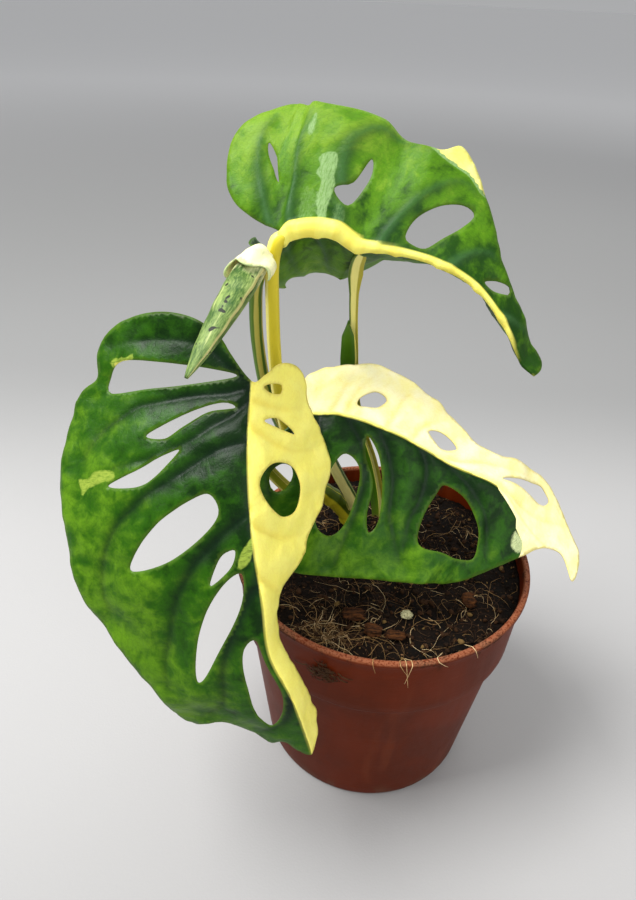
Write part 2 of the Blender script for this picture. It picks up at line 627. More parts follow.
def shell(flat_count, triangles):
    """The faces of a thin solid: the shown face, the hidden face and the strip round every edge."""
    triangles = np.asarray(triangles)
    faces = [tuple(t) for t in triangles[:, ::-1]] + [tuple(t) for t in triangles + flat_count]
    edges = np.vstack([triangles[:, [0, 1]], triangles[:, [1, 2]], triangles[:, [2, 0]]])
    known = {tuple(e) for e in edges}
    faces += [(a, b, b + flat_count, a + flat_count) for a, b in known if (b, a) not in known]
    return faces


def rolled_piece(name, shown, hidden, place, chart_size):
    """A thin sheet from rows of shown and hidden points; place is each point's shares along and across."""
    rows, count = len(shown), len(shown[0])
    grid = np.arange(rows * count).reshape(rows, count)
    a, b, c, d = grid[:-1, :-1].ravel(), grid[:-1, 1:].ravel(), grid[1:, 1:].ravel(), grid[1:, :-1].ravel()
    triangles = np.vstack([np.stack([a, c, b], axis=1), np.stack([a, d, c], axis=1)])
    place = np.vstack(place)
    attributes = {"along": np.tile(place[:, 0], 2), "across": np.tile(place[:, 1], 2)}
    piece = new_piece(name, np.vstack([*shown, *hidden]) * MM, shell(rows * count, triangles), attributes)
    add_chart(piece, "blade", np.vstack([place, place]) * chart_size)
    return piece


# ---------------------------------------------------------------- leaves


VEIN_WIDTH = 1.15  # millimetres, and every vein's width scales with it


def make_blade(name, spec, back_shown, pale_half, seed):
    """One holed leaf: a fine thin solid with sunk veins, quilting between them, a rib and a wavy rim."""
    use = settings()
    sheet = Sheet(spec)
    flat, triangles, loops = flat_mesh(spec["outline"], spec["holes"], use.blade_grain / MM)
    along, out = flat[:, 0], flat[:, 1]
    side = np.where(out >= 0, 1.0, -1.0)
    to_rim, _ = to_lines(flat, loops, closed=True)
    to_outer, _ = to_lines(flat, loops[:1], closed=True)
    to_vein, vein_share = to_lines(flat, [spline(line, 2.0) for line in spec["veins"]])
    middle, away = sheet.at(along, out, side), sheet.normal(along, out)

    vein_width = VEIN_WIDTH * (1.15 - 0.7 * vein_share)
    vein = np.exp(-((to_vein / vein_width) ** 2)) * np.clip(1.25 - vein_share, 0, 1)
    halo = np.exp(-((to_vein / (3.4 - 1.8 * vein_share)) ** 2)) * np.clip(1.3 - vein_share, 0, 1)
    quilt = 1 - np.exp(-((to_vein / 5.5) ** 2))
    toward_rib = np.clip(np.abs(out) / 6, 0, 1)
    sign = 1 if back_shown else -1
    chart_points = np.stack([along, out, np.zeros(len(flat))], axis=1)
    sway = noise_at(chart_points, 26.0, seed) * 0.9 * toward_rib
    dimple = noise_at(chart_points, 8.0, seed + 5) * 0.28 * toward_rib
    ripple = noise_at(chart_points, 13.0, seed + 9) * 1.1 * np.exp(-to_outer / 6) * toward_rib
    relief = sign * (0.7 * vein - 0.8 * quilt * toward_rib) + sway + dimple + ripple
    middle = middle + away * relief[:, None]

    rib_width, rib_height, rib_side = spec["rib"]
    fade = np.clip(1 - along / sheet.length, 0, 1) ** 0.7
    reach = np.maximum(rib_paint(along, sheet.length, spec), rib_width * (0.3 + 0.7 * fade) * 0.55)
    crown = np.sqrt(np.clip(1 - (out / reach) ** 2, 0, 1))
    bulge = rib_height * (0.15 + 0.85 * fade) * crown * reach / rib_width
    half = use.blade_thickness / MM / 2 * (0.45 + 0.55 * np.clip(to_rim / 2.5, 0, 1))
    groove = 0.5 * np.exp(-((out / 1.1) ** 2)) * (0.3 + 0.7 * fade)
    if rib_side > 0:
        shown = middle + away * (half + bulge)[:, None]
        hidden = middle - away * (half - groove * 0.5)[:, None]
    else:
        shown = middle + away * (half - groove)[:, None]
        hidden = middle - away * (half + bulge)[:, None]

    patch = np.zeros(len(flat))
    for loop, strength in spec["patches"]:
        loop = spline(loop, 1.0, closed=True)
        gap, _ = to_lines(flat, [loop], closed=True)
        signed = np.where(inside(flat, loop), gap, -gap)
        patch = np.maximum(patch, strength * np.clip(0.5 + signed / 1.6, 0, 1))
    twice = {
        "vein": vein, "halo": halo, "pale": pale_half(along, out), "patch": patch,
        "reach": np.clip(np.abs(out) / 44, 0, 1),
        "rib": np.clip((rib_paint(along, sheet.length, spec) - np.abs(out)) / 0.5 + 0.5, 0, 1),
        "rim": np.exp(-((to_rim / 0.45) ** 2)),
    }
    attributes = {key: np.concatenate([values, values]) for key, values in twice.items()}
    attributes["under"] = np.concatenate([np.zeros(len(flat)), np.ones(len(flat))])
    piece = new_piece(name, np.vstack([shown, hidden]) * MM, shell(len(flat), triangles), attributes)
    add_chart(piece, "blade", np.vstack([flat, flat]) / 100)
    look = leaf_look(name + "_skin", back_shown, spec["patch_tone"], spec["pale_tone"],
                     spec["tip_light"])
    return finish_piece(piece, look, "leaf_blade", name.replace("monstera_", ""))


def rib_paint(along, length, spec):
    """Half the width of the pale band along a midrib."""
    stops = np.array(spec["band"])
    return np.interp(along / length, stops[:, 0], stops[:, 1])


def pale_left(along, out):
    return -out


def pale_left_and_tip(along, out):
    """The left half, and the right half past an uneven line near the tip."""
    points = [(60, -30), (72, -1), (81, 1), (86, 1.5), (89, 4), (93, 4.5), (96, 8), (97, 13), (99, 30)]
    line = spline(points, 1.0)
    gap = along - np.interp(out, line[:, 1], line[:, 0])
    return np.maximum(-out, np.minimum(gap, 6))


def pale_none(along, out):
    return np.full(len(along), -5.0)


LOWER_LEFT.update(band=[(0, 0.5), (1, 0.0)], tip_light=0.16, pale_tone=srgb(255, 246, 126),
                  patch_tone=srgb(140, 160, 60))
LOWER_RIGHT.update(band=[(0, 0.4), (1, 0.0)], tip_light=0.0, pale_tone=srgb(255, 248, 196),
                   patch_tone=srgb(196, 208, 150))
TOP.update(band=[(0, 2.6), (0.08, 3.3), (0.27, 2.8), (0.36, 1.5), (0.6, 1.2), (0.85, 1.0), (0.97, 0.2),
                 (1, 0)],
           tip_light=-0.1, pale_tone=srgb(255, 246, 168), patch_tone=srgb(128, 160, 100))
LEAVES = [
    ("monstera_leaf_lower_left", LOWER_LEFT, False, pale_left, 1.0),
    ("monstera_leaf_lower_right", LOWER_RIGHT, False, pale_left_and_tip, 4.0),
    ("monstera_leaf_top", TOP, True, pale_none, 8.0),
]


FURLED_TURNS = 1.45
FURLED_START = math.radians(200)
FURLED_ROUTE = [(-48, -2, 222.5), (-50.5, -7, 222), (-53.5, -16, 219), (-57.5, -27, 214), (-62, -38, 208),
                (-66, -47, 202.5)]
FURLED_WIDTHS = [(0, 3.2), (0.06, 4.6), (0.2, 5.8), (0.4, 5.6), (0.6, 4.6), (0.8, 3.2), (0.93, 1.6), (1, 0.5)]
YOUNG_FLESH = {"Subsurface_Weight": 0.05, "Subsurface_Radius": (0.0012, 0.002, 0.0008),
               "Subsurface_Scale": 1.0}
FURLED_SIDE = np.array([0.0, 1.0, 0.0])  # the way across from which its rings are turned
CAP_FACING = np.array([-0.25, -0.55, 0.8])  # the way that the middle of its foot faces


def make_furled_cap():
    """The pale flared foot of the unopened leaf: a short open collar with a scalloped, rolled lip."""
    path = spline(FURLED_ROUTE, 0.6)
    path = path[: int(len(path) * 0.27)]
    shown, hidden, place = [], [], []
    count = 44
    spread = np.linspace(-1, 1, count)
    for share, spot, ahead, side, over in carried_frames(path, FURLED_SIDE):
        middle = math.atan2(CAP_FACING @ over, CAP_FACING @ side)
        turns = middle + spread * math.radians(120 - 26 * share)
        radius = np.interp(share, [0, 0.2, 0.55, 0.85, 1], [2.6, 4.9, 5.9, 6.3, 6.7])
        lobes = 1 + (0.10 + 0.06 * share) * np.cos(spread * 7.5 + 0.4) * math.sin(1.2 + 1.6 * share)
        slide = ahead * (share * (1.6 * np.cos(spread * 6.0 + 1.0) - 1.5 * np.abs(spread)))[:, None]
        for offset, rows in ((0.25, shown), (-0.25, hidden)):
            radii = radius * lobes + offset
            rows.append(spot + slide + side * (radii * np.cos(turns))[:, None]
                        + over * (radii * np.sin(turns))[:, None])
        place.append(np.stack([np.full(count, share), (spread + 1) / 2], axis=1))
    piece = rolled_piece("monstera_leaf_furled_cap", shown, hidden, place, (0.2, 0.3))
    sh = Shader("young_leaf_foot", **YOUNG_FLESH, Specular_IOR_Level=0.2)
    chart, along = sh.chart("blade"), sh.read("along")
    broad = sh.grain(sh.stretch(chart, (3, 5, 1)), 6.0, 4, 0.6)
    fine = sh.grain(sh.stretch(chart, (3, 16, 1)), 20.0, 4, 0.6)
    colour = sh.mix(srgb(255, 250, 196), srgb(214, 222, 160), (broad * 0.6 + fine * 0.4).step(0.45, 0.7))
    colour = sh.mix(colour, srgb(150, 176, 110), (along + (broad - 0.5) * 0.5).step(0.86, 1.05) * 0.7)
    look = sh.finish(colour, 0.45 + fine * 0.1, sh.bump(fine + broad, 0.0003, 0.5))
    finish_piece(piece, look, "young_leaf")


def make_furled_leaf():
    """The unopened leaf: one sheet rolled on itself, flared where it leaves its petiole, drawn to a point."""
    path = spline(FURLED_ROUTE, 0.8)
    widths = spline([(s, w, 0) for s, w in FURLED_WIDTHS], 0.02)
    shown, hidden, across_rows = [], [], []
    count = 64
    for share, spot, _, side, over in carried_frames(path, FURLED_SIDE):
        radius = np.interp(share, widths[:, 0], widths[:, 1])
        open_share = np.interp(share, [0, 0.12, 0.3, 1], [0.55, 0.8, 1.0, 1.0])
        turns = np.linspace(0, 1, count) * math.tau * FURLED_TURNS * open_share + FURLED_START
        shrink = 1 - 0.42 * np.linspace(0, 1, count) * open_share
        lip = 1 + 0.05 * np.sin(share * 40) * np.linspace(1, 0, count) ** 4
        for offset, rows in ((0.22, shown), (-0.22, hidden)):
            radii = radius * shrink * lip + offset
            rows.append(spot + side * (radii * np.cos(turns))[:, None]
                        + over * (radii * np.sin(turns) * 0.8)[:, None])
        across_rows.append(np.stack([np.full(count, share), np.linspace(0, 1, count)], axis=1))
    piece = rolled_piece("monstera_leaf_furled", shown, hidden, across_rows, (0.5, 0.4))
    return finish_piece(piece, furled_look(), "young_leaf", "leaf_furled")



def furled_look():
    """Cream at the base, green and marbled along the roll, with a few dark nicks."""
    sh = Shader("young_leaf_skin", **YOUNG_FLESH, Specular_IOR_Level=0.3)
    chart, along, across = sh.chart("blade"), sh.read("along"), sh.read("across")
    broad = sh.grain(sh.stretch(chart, (1, 2.5, 1)), 9.0, 4, 0.6)
    fine = sh.grain(sh.stretch(chart, (2, 9, 1)), 30.0, 4, 0.65)
    green = sh.mix(srgb(44, 82, 20), srgb(142, 164, 88), (broad * 0.6 + fine * 0.4).step(0.38, 0.64))
    cream = sh.mix(srgb(250, 248, 196), srgb(214, 220, 150), fine.step(0.5, 0.75))
    paleness = (0.24 - along + (broad - 0.5) * 0.3 + (fine - 0.5) * 0.12).step(-0.07, 0.09)
    colour = sh.mix(green, cream, paleness)
    streak = sh.grain(sh.stretch(chart, (1, 7, 1)), 6.0, 3, 0.5)
    colour = sh.mix(colour, srgb(206, 212, 140), streak.step(0.6, 0.68) * 0.5)
    nick = sh.grain(sh.stretch(chart, (6, 6, 1)), 6.0, 1, 0.4)
    colour = sh.mix(colour, srgb(24, 30, 12), nick.step(0.66, 0.69))
    lip = (across.step(0.0, 0.03)) * (1 - across).step(0.0, 0.03)
    colour = sh.mix(srgb(210, 200, 130), colour, lip)
    return sh.finish(colour, 0.42 + fine * 0.15, sh.bump(fine + broad, 0.0003, 0.6))


# ---------------------------------------------------------------- stalks


def swept(name, route, section, spacing, count):
    """A closed solid along a route; section(share, turns) gives x and y of its ring, in millimetres."""
    path = spline(route, spacing)
    turns = np.arange(count) / count
    rings, place = [], []
    for share, spot, _, side, over in carried_frames(path, np.array([1.0, 0.0, 0.0])):
        x, y = section(share, turns)
        rings.append(spot + side * x[:, None] + over * y[:, None])
        place.append(np.stack([turns, np.full(count, share)], axis=1))
    vertices = np.vstack([*rings, path[:1], path[-1:]])
    faces = []
    for k in range(len(path) - 1):
        low, high = k * count, (k + 1) * count
        faces += [(low + i, low + (i + 1) % count, high + (i + 1) % count, high + i) for i in range(count)]
    first, last, top = len(vertices) - 2, len(vertices) - 1, (len(path) - 1) * count
    faces += [(first, (i + 1) % count, i) for i in range(count)]
    faces += [(last, top + i, top + (i + 1) % count) for i in range(count)]
    place = np.vstack([*place, [(0.5, 0)], [(0.5, 1)]])
    piece = new_piece(name, vertices * MM, faces, {"around": place[:, 0], "along": place[:, 1]})
    add_chart(piece, "round", place * (0.25, 1.0))
    return piece


def round_section(radius_at, groove, flat_share=1.0):
    def section(share, turns):
        angle = math.tau * turns
        dip = 1 - groove * np.maximum(0, np.sin(angle)) ** 6
        wave = 1 + 0.03 * np.sin(3 * angle + 5 * share) + 0.02 * np.sin(9 * share + 2 * angle)
        radius = radius_at(share) * dip * wave
        return radius * np.cos(angle), radius * np.sin(angle) * flat_share
    return section


def petiole_radius(share):
    foot = 0.5 + 0.5 * min(1.0, share / 0.05)
    head = 0.45 + 0.55 * math.sqrt(min(1.0, (1 - share) / 0.05))
    knee = 0.10 * math.exp(-(((share - 0.94) / 0.03) ** 2))
    return 2.4 * (1.12 - 0.22 * share + knee) * min(foot, head)


def vine_radius(share):
    swell = 0.14 * sum(math.exp(-(((share - node) / 0.04) ** 2)) for node in (0.52, 0.8))
    scar = -0.05 * sum(math.exp(-(((share - node) / 0.012) ** 2)) for node in (0.49, 0.77))
    end = math.sqrt(max(0.04, 1 - max(0.0, (share - 0.9) / 0.1) ** 2))
    return 4.2 * (1 - 0.15 * share + swell + scar) * end


STALK_BANDS = {
    "petiole_top": ([(0, srgb(206, 188, 40)), (0.25, srgb(120, 132, 30)), (0.5, srgb(236, 224, 120)),
                     (0.66, srgb(214, 196, 46))], srgb(252, 236, 96)),
    "petiole_furled": ([(0, srgb(120, 136, 24)), (0.3, srgb(62, 98, 14)), (0.58, srgb(84, 118, 16)),
                        (0.68, srgb(196, 186, 92)), (0.8, srgb(66, 104, 12)), (0.88, srgb(196, 180, 60))],
                       srgb(226, 226, 130)),
    "petiole_lower_left": ([(0, srgb(160, 156, 46)), (0.45, srgb(226, 214, 112)), (0.8, srgb(150, 156, 30))],
                           srgb(240, 230, 110)),
    "petiole_lower_right": ([(0, srgb(48, 84, 10)), (0.35, srgb(48, 84, 10)), (0.62, srgb(246, 234, 150)),
                             (0.9, srgb(48, 84, 10))], srgb(244, 232, 120)),
    "vine": ([(0, srgb(86, 100, 20)), (0.45, srgb(190, 178, 26)), (0.62, srgb(206, 192, 40)),
              (0.82, srgb(76, 96, 14))], srgb(160, 152, 40)),
}


def make_shoot():
    """The sheathed shoot: a rolled olive strip, green wing on its left edge, pale tab for a head."""
    def core(share, turns):
        half = np.interp(share, [0, 0.2, 0.5, 0.66, 0.75, 0.84, 0.9, 0.97, 1],
                         [2.4, 2.5, 2.5, 1.9, 1.6, 1.7, 2.6, 2.3, 1])
        angle = math.tau * turns
        return half * np.cos(angle), 0.9 * np.sin(angle) - 0.8 * np.cos(angle) ** 2

    def wing(share, turns):
        half = np.interp(share, [0, 0.25, 0.6, 0.8, 0.93, 1], [1.6, 2.2, 3.0, 3.3, 2.6, 0.5])
        angle = math.tau * turns
        return half * np.cos(angle), 0.5 * np.sin(angle) - 1.3 * np.cos(angle) ** 2

    whole = swept("monstera_shoot", SHOOT_ROUTE, core, 1.2, 32)
    look = stalk_look("shoot_skin", [(0, srgb(150, 142, 40)), (0.3, srgb(96, 112, 20)),
                                     (0.55, srgb(70, 104, 18)), (0.64, srgb(236, 228, 140)),
                                     (0.82, srgb(170, 160, 50))],
                      srgb(250, 242, 140))
    finish_piece(whole, look, "shoot_skin", "sheathed_shoot")
    path = spline(SHOOT_ROUTE, 1.2)
    lower = path[int(len(path) * 0.1) : int(len(path) * 0.76)]
    lower = [tuple(p + np.array([-1.9, -1.7, 0])) for p in lower[::4]]
    sheath = swept("monstera_shoot_sheath", lower, wing, 1.2, 32)
    look = stalk_look("sheath_skin", [(0, srgb(58, 96, 12)), (0.5, srgb(66, 108, 12)),
                                      (0.9, srgb(226, 216, 110))],
                      srgb(110, 130, 30))
    finish_piece(sheath, look, "shoot_skin")


# ---------------------------------------------------------------- pot


# In millimetres, apart from the number of holes.
POT_WALL = 1.3
COLLAR_HEIGHT = 31
BODY_FOOT_RADIUS = 46.0
DRAIN_HOLES = 8
DRAIN_RADIUS = 4
DRAIN_CIRCLE = 24


def pot_profile():
    """(radius, height) in metres, from the middle of the inside floor over the lip to the middle below."""
    use = settings()
    rim, height = use.rim_radius / MM, use.pot_height / MM
    step = height - COLLAR_HEIGHT
    collar = rim - 1.2
    body_top = collar - 4.0
    body_low = BODY_FOOT_RADIUS

    def body(z):
        return body_low + (body_top - body_low) * z / step

    inner = [(12, 3.3), (35.5, 3.3), (37, 1.3), (44.5, 1.3), (45.2, 2.2)]
    inner += [(body(z) - POT_WALL, z) for z in np.linspace(6, step - 2, 12)]
    inner += [(collar - POT_WALL - 1.6, step + 1.5)]
    inner += [(collar - POT_WALL - 1.6 * (height - z) / COLLAR_HEIGHT, z)
              for z in np.linspace(step + 5, height - 1.6, 6)]
    inner += [(rim - 2.3, height - 0.5), (rim - 1.9, height - 0.1), (rim - 1.3, height)]
    lip = [(rim - 0.5, height - 0.15), (rim - 0.12, height - 0.5), (rim, height - 0.95), (rim, height - 1.9),
           (rim - 0.15, height - 2.3), (rim - 0.6, height - 2.55), (collar + 0.05, height - 2.8)]
    outer = [(collar - 0.1 - 1.5 * (height - z) / COLLAR_HEIGHT, z)
             for z in np.linspace(height - 3.4, step + 1.2, 9)]
    outer += [(collar - 1.75, step + 0.7), (collar - 2.0, step + 0.3), (collar - 2.5, step),
              (body(step) + 0.5, step - 0.3), (body(step) + 0.1, step - 0.8)]
    outer += [(body(z), z) for z in np.linspace(step - 1.6, 2.2, 18)]
    foot = [(body_low - 0.1, 1.0), (body_low - 0.6, 0.25), (body_low - 1.4, 0), (38.6, 0), (37.6, 0.4),
            (37, 2), (13.3, 2), (12.4, 1.4), (12, 0)]
    return [(r * MM, z * MM) for r, z in inner + lip + outer + foot]


def edit_open_edges():
    """Edit mode, with only the edges of the open rim selected."""
    bpy.ops.object.mode_set(mode="EDIT")
    bpy.ops.mesh.select_mode(type="EDGE")
    bpy.ops.mesh.select_all(action="DESELECT")
    bpy.ops.mesh.select_non_manifold(extend=False)


def leave_facing_out():
    bpy.ops.mesh.select_all(action="SELECT")
    bpy.ops.mesh.normals_make_consistent(inside=False)
    bpy.ops.object.mode_set(mode="OBJECT")


def turned(name, profile, steps):
    """A round piece: a filled circle whose edge is extruded and resized along a profile, then closed."""
    clear_selection()
    radius, height = profile[0]
    bpy.ops.mesh.primitive_circle_add(vertices=steps, radius=radius, fill_type="TRIFAN",
                                      location=(0, 0, height))
    piece = bpy.context.object
    piece.name = piece.data.name = name
    bpy.ops.object.transform_apply(location=True)
    edit_open_edges()
    for next_radius, next_height in profile[1:]:
        bpy.ops.mesh.extrude_edges_move(TRANSFORM_OT_translate={"value": (0, 0, next_height - height)})
        ratio = next_radius / radius
        bpy.ops.transform.resize(value=(ratio, ratio, 1), center_override=(0, 0, next_height))
        radius, height = next_radius, next_height
    bpy.ops.mesh.edge_face_add()
    bpy.ops.mesh.poke()
    leave_facing_out()
    return piece


def apply_modifier(piece, kind, **values):
    change = piece.modifiers.new(kind, kind)
    for key, value in values.items():
        setattr(change, key, value)
    bpy.context.view_layer.objects.active = piece
    bpy.ops.object.modifier_apply(modifier=change.name)


def make_pot():
    pot = turned("monstera_pot", pot_profile(), 160)
    cutters = []
    for k in range(DRAIN_HOLES):
        turn = math.tau * (k + 0.5) / DRAIN_HOLES
        clear_selection()
        spot = (DRAIN_CIRCLE * MM * math.cos(turn), DRAIN_CIRCLE * MM * math.sin(turn), 2 * MM)
        bpy.ops.mesh.primitive_cylinder_add(vertices=32, radius=DRAIN_RADIUS * MM, depth=9 * MM,
                                            location=spot)
        cutters.append(bpy.context.object)
    clear_selection()
    for cutter in cutters:
        cutter.select_set(True)
    bpy.context.view_layer.objects.active = cutters[0]
    bpy.ops.object.join()
    cutter = bpy.context.object
    apply_modifier(pot, "BOOLEAN", operation="DIFFERENCE", object=cutter, solver="EXACT")
    bpy.data.objects.remove(cutter)
    clear_selection()
    pot.select_set(True)
    bpy.context.view_layer.objects.active = pot
    bpy.ops.object.shade_smooth_by_angle(angle=math.radians(34))
    finish_piece(pot, pot_look(), "pot_plastic", "pot")


def pot_look():
    """Thin brown plastic: a satin face with dust, scuffs, water marks and soil near the rim."""
    use = settings()
    sh = Shader("pot_plastic", Specular_IOR_Level=0.07)
    place = sh.place()
    height = sh.node("SeparateXYZ", {}, {"Vector": place}, output=2)
    broad = sh.grain(place, 26.0, 4, 0.6)
    dust = sh.grain(sh.stretch(place, (1, 1, 0.35)), 160.0, 5, 0.65)
    fine = sh.grain(place, 1500.0, 2, 0.5)
    scuff = sh.grain(sh.stretch(place, (1, 1, 7)), 90.0, 5, 0.7, 0.3)
    colour = sh.mix(tuple_of(use.pot_colour), srgb(78, 27, 5), broad.step(0.35, 0.68))
    colour = sh.mix(colour, srgb(108, 46, 18), dust.step(0.56, 0.8) * 0.35)
    colour = sh.mix(colour, srgb(134, 64, 32), scuff.step(0.64, 0.74) * 0.3)
    drip = sh.grain(sh.stretch(place, (1, 1, 0.12)), 70.0, 3, 0.5)
    colour = sh.mix(colour, srgb(112, 50, 22), drip.step(0.6, 0.7) * 0.3)
    near_rim = height.step(0.088, 0.104)
    grime = (dust * 0.6 + broad * 0.4 + near_rim * 0.13).step(0.62, 0.7)
    colour = sh.mix(colour, srgb(50, 34, 24), grime * near_rim * 0.8)
    low = (1 - height.step(0.0, 0.012)) * dust.step(0.45, 0.6)
    colour = sh.mix(colour, srgb(96, 70, 54), low * 0.5)
    colour = sh.mix(colour, srgb(186, 122, 88), height.step(0.1015, 0.1026) * fine.step(0.3, 0.6) * 0.4)
    rough = 0.34 + dust * 0.22 + grime * near_rim * 0.3
    return sh.finish(colour, rough, sh.bump(fine * 0.3 + scuff * 0.4 + broad, 0.00025, 0.55))


# ---------------------------------------------------------------- soil


def soil_height(x, y):
    """The soil's surface in metres: the CAD model's slow bumps with clods and grains on them."""
    spot = Vector((x, y, 0))
    edge = min(1.0, math.hypot(x, y) / (57.5 * MM))
    slow = noise.noise(spot / (11 * MM)) * 1.6
    clods = noise.fractal(spot / (4.2 * MM), 0.8, 2.1, 4) * 0.75
    grains = noise.fractal(spot / (1.3 * MM) + Vector((4, 1, 0)), 0.7, 2.2, 2) * 0.32
    return settings().pot_height - (5.6 - slow - clods - grains + 1.5 * edge ** 6) * MM


def make_soil():
    """The mix in the pot: a fine grid cut round, raised by its clods, with a skirt down inside the wall."""
    radius = 57.2 * MM
    clear_selection()
    bpy.ops.mesh.primitive_grid_add(x_subdivisions=150, y_subdivisions=150, size=2 * radius,
                                    location=(0, 0, 0))
    soil = bpy.context.object
    soil.name = soil.data.name = "monstera_soil"
    shape = bmesh.new()
    shape.from_mesh(soil.data)
    far = [v for v in shape.verts if v.co.length > radius]
    bmesh.ops.delete(shape, geom=far, context="VERTS")
    for vertex in shape.verts:
        if vertex.is_boundary:
            vertex.co *= radius / vertex.co.length
        vertex.co.z = soil_height(vertex.co.x, vertex.co.y)
    shape.to_mesh(soil.data)
    shape.free()
    edit_open_edges()
    bpy.ops.mesh.extrude_edges_move(TRANSFORM_OT_translate={"value": (0, 0, -22 * MM)})
    bpy.ops.transform.resize(value=(0.955, 0.955, 0), center_override=(0, 0, 74 * MM))
    bpy.ops.mesh.edge_face_add()
    leave_facing_out()
    soil.data.shade_smooth()
    finish_piece(soil, soil_look(), "potting_mix", "potting_soil")


def soil_look():
    use = settings()
    sh = Shader("potting_mix_skin", Specular_IOR_Level=0.1)
    place = sh.place()
    broad = sh.grain(place, 120.0, 5, 0.65)
    fine = sh.grain(place, 620.0, 5, 0.7)
    crumbs = sh.cells(place, 520.0, "F1")
    colour = sh.mix(tuple_of(use.soil_colour), srgb(8, 5, 3), broad.step(0.4, 0.62))
    colour = sh.mix(colour, srgb(62, 38, 20), fine.step(0.56, 0.76) * 0.7)
    fleck = sh.grain(place, 900.0, 2, 0.5)
    colour = sh.mix(colour, srgb(150, 112, 74), fleck.step(0.68, 0.76) * 0.8)
    return sh.finish(colour, 0.9 - broad * 0.15, sh.bump(fine * 0.6 + crumbs * 0.5, 0.0009, 1.0))


def make_crumbs():
    """Loose crumbs: five rough shapes made once and set down many times, joined as one piece."""
    draw = random.Random(7)
    shapes = []
    for kind in range(5):
        clear_selection()
        bpy.ops.mesh.primitive_ico_sphere_add(subdivisions=1 + kind % 2, radius=1.0)
        crumb = bpy.context.object
        points = np.array([v.co for v in crumb.data.vertices])
        points *= (1 + 0.45 * noise_at(points, 0.8, kind * 3.1, 2))[:, None]
        shapes.append((points * (1, 0.8, 0.65), np.array([list(p.vertices) for p in crumb.data.polygons])))
        bpy.data.objects.remove(crumb)
    vertices, faces, tones, count = [], [], [], 0
    for _ in range(settings().crumb_count):
        reach, turn = 56 * MM * math.sqrt(draw.random()), math.tau * draw.random()
        x, y = reach * math.cos(turn), reach * math.sin(turn)
        size = MM * (0.35 + 1.0 * draw.random() ** 2.2)
        points, polygons = shapes[draw.randrange(5)]
        turned_by = np.array(Matrix.Rotation(math.tau * draw.random(), 3, "Z")
                             @ Matrix.Rotation(draw.uniform(-0.6, 0.6), 3, "X"))
        vertices.append(points @ turned_by.T * size + (x, y, soil_height(x, y) + 0.25 * size))
        faces.append(polygons + count)
        tones.append(np.full(len(points), draw.random()))
        count += len(points)
    piece = new_piece("monstera_soil_crumbs", np.vstack(vertices), [f for group in faces for f in group],
                      {"tone": np.concatenate(tones)})
    sh = Shader("crumb_skin", Specular_IOR_Level=0.1)
    tone, fine = sh.read("tone"), sh.grain(sh.place(), 1100.0, 4, 0.7)
    colour = sh.mix(srgb(12, 8, 5), srgb(56, 36, 20), (tone * 0.6 + fine * 0.5).step(0.2, 0.8))
    colour = sh.mix(colour, srgb(116, 92, 52), (tone + (fine - 0.5) * 0.1).step(0.9, 0.95) * 0.8)
    finish_piece(piece, sh.finish(colour, 0.85 - fine * 0.1, sh.bump(fine, 0.0004, 0.8)), "potting_mix")


SMEAR_FIBRES = 60  # stuck to the collar where soil was spilt
# Each root over the rim: degrees round from the front, millimetres added to its hang, and its sway.
RIM_ROOTS = [(-6, 2, 0.3), (3, 3, 0.6), (5, 9, 0.15), (7, 7, -0.2), (16, 1, 1.2), (30, 2, 0.4)]
FIBRE_STEPS = 8


def fibre_paths():
    """Where the fibres lie: flat curls over the soil, a few over the rim and down the pot's front."""
    draw = random.Random(23)
    paths = []
    for k in range(settings().fibre_count):
        reach, turn = 54 * MM * math.sqrt(draw.random()), math.tau * draw.random()
        x, y = reach * math.cos(turn), reach * math.sin(turn)
        if k % 5 == 0:  # one in five lies in the tangle at the front left
            x, y = draw.gauss(-21, 7) * MM, draw.gauss(-42, 4) * MM
        heading, bend = draw.uniform(0, math.tau), draw.uniform(-0.4, 0.4)
        length = MM * draw.choice((4, 6, 8, 12, 20))
        lift = draw.uniform(0.2, 1.6) * MM
        radius = draw.uniform(0.05, 0.11) * MM
        path = []
        for step in range(FIBRE_STEPS + 1):
            share = step / FIBRE_STEPS
            if math.hypot(x, y) > 56 * MM:
                break
            arch = lift * math.sin(math.pi * share) + 0.25 * MM
            path.append((x, y, soil_height(x, y) + arch))
            heading += bend + draw.uniform(-0.25, 0.25)
            x += length / FIBRE_STEPS * math.cos(heading)
            y += length / FIBRE_STEPS * math.sin(heading)
        if len(path) > 3:
            paths.append((path, radius, draw.random()))
    for k, (angle, drop, sway) in enumerate(RIM_ROOTS):
        turn = math.radians(angle)
        path = []
        over_rim = ((53, -5.0), (56.3, -1.8), (58.6, 0.45), (60.4, 0.2), (60.7, -2.2), (60.6, -2.2 - drop))
        for reach, high in over_rim:
            twist = turn + sway * max(0, -high) / 60
            path.append((reach * MM * math.sin(twist), -reach * MM * math.cos(twist),
                         settings().pot_height + high * MM))
        paths.append((path, 0.19 * MM, 0.8 + 0.03 * k))
    for _ in range(SMEAR_FIBRES):
        turn = math.radians(draw.gauss(-23, 2.8))
        high = draw.gauss(-12.5, 2.2) * MM
        twist, rise = draw.uniform(-0.03, 0.03), draw.uniform(-1.6, 0.6) * MM
        path = []
        for step in range(4):
            reach = settings().rim_radius - (0.9 - 0.7 * math.sin(math.pi * step / 3)) * MM + high * 0.05
            path.append((reach * math.sin(turn), -reach * math.cos(turn), settings().pot_height + high))
            turn += twist + draw.uniform(-0.012, 0.012)
            high += rise / 2
        paths.append((path, draw.uniform(0.15, 0.4) * MM, draw.uniform(0.0, 0.35)))
    return paths


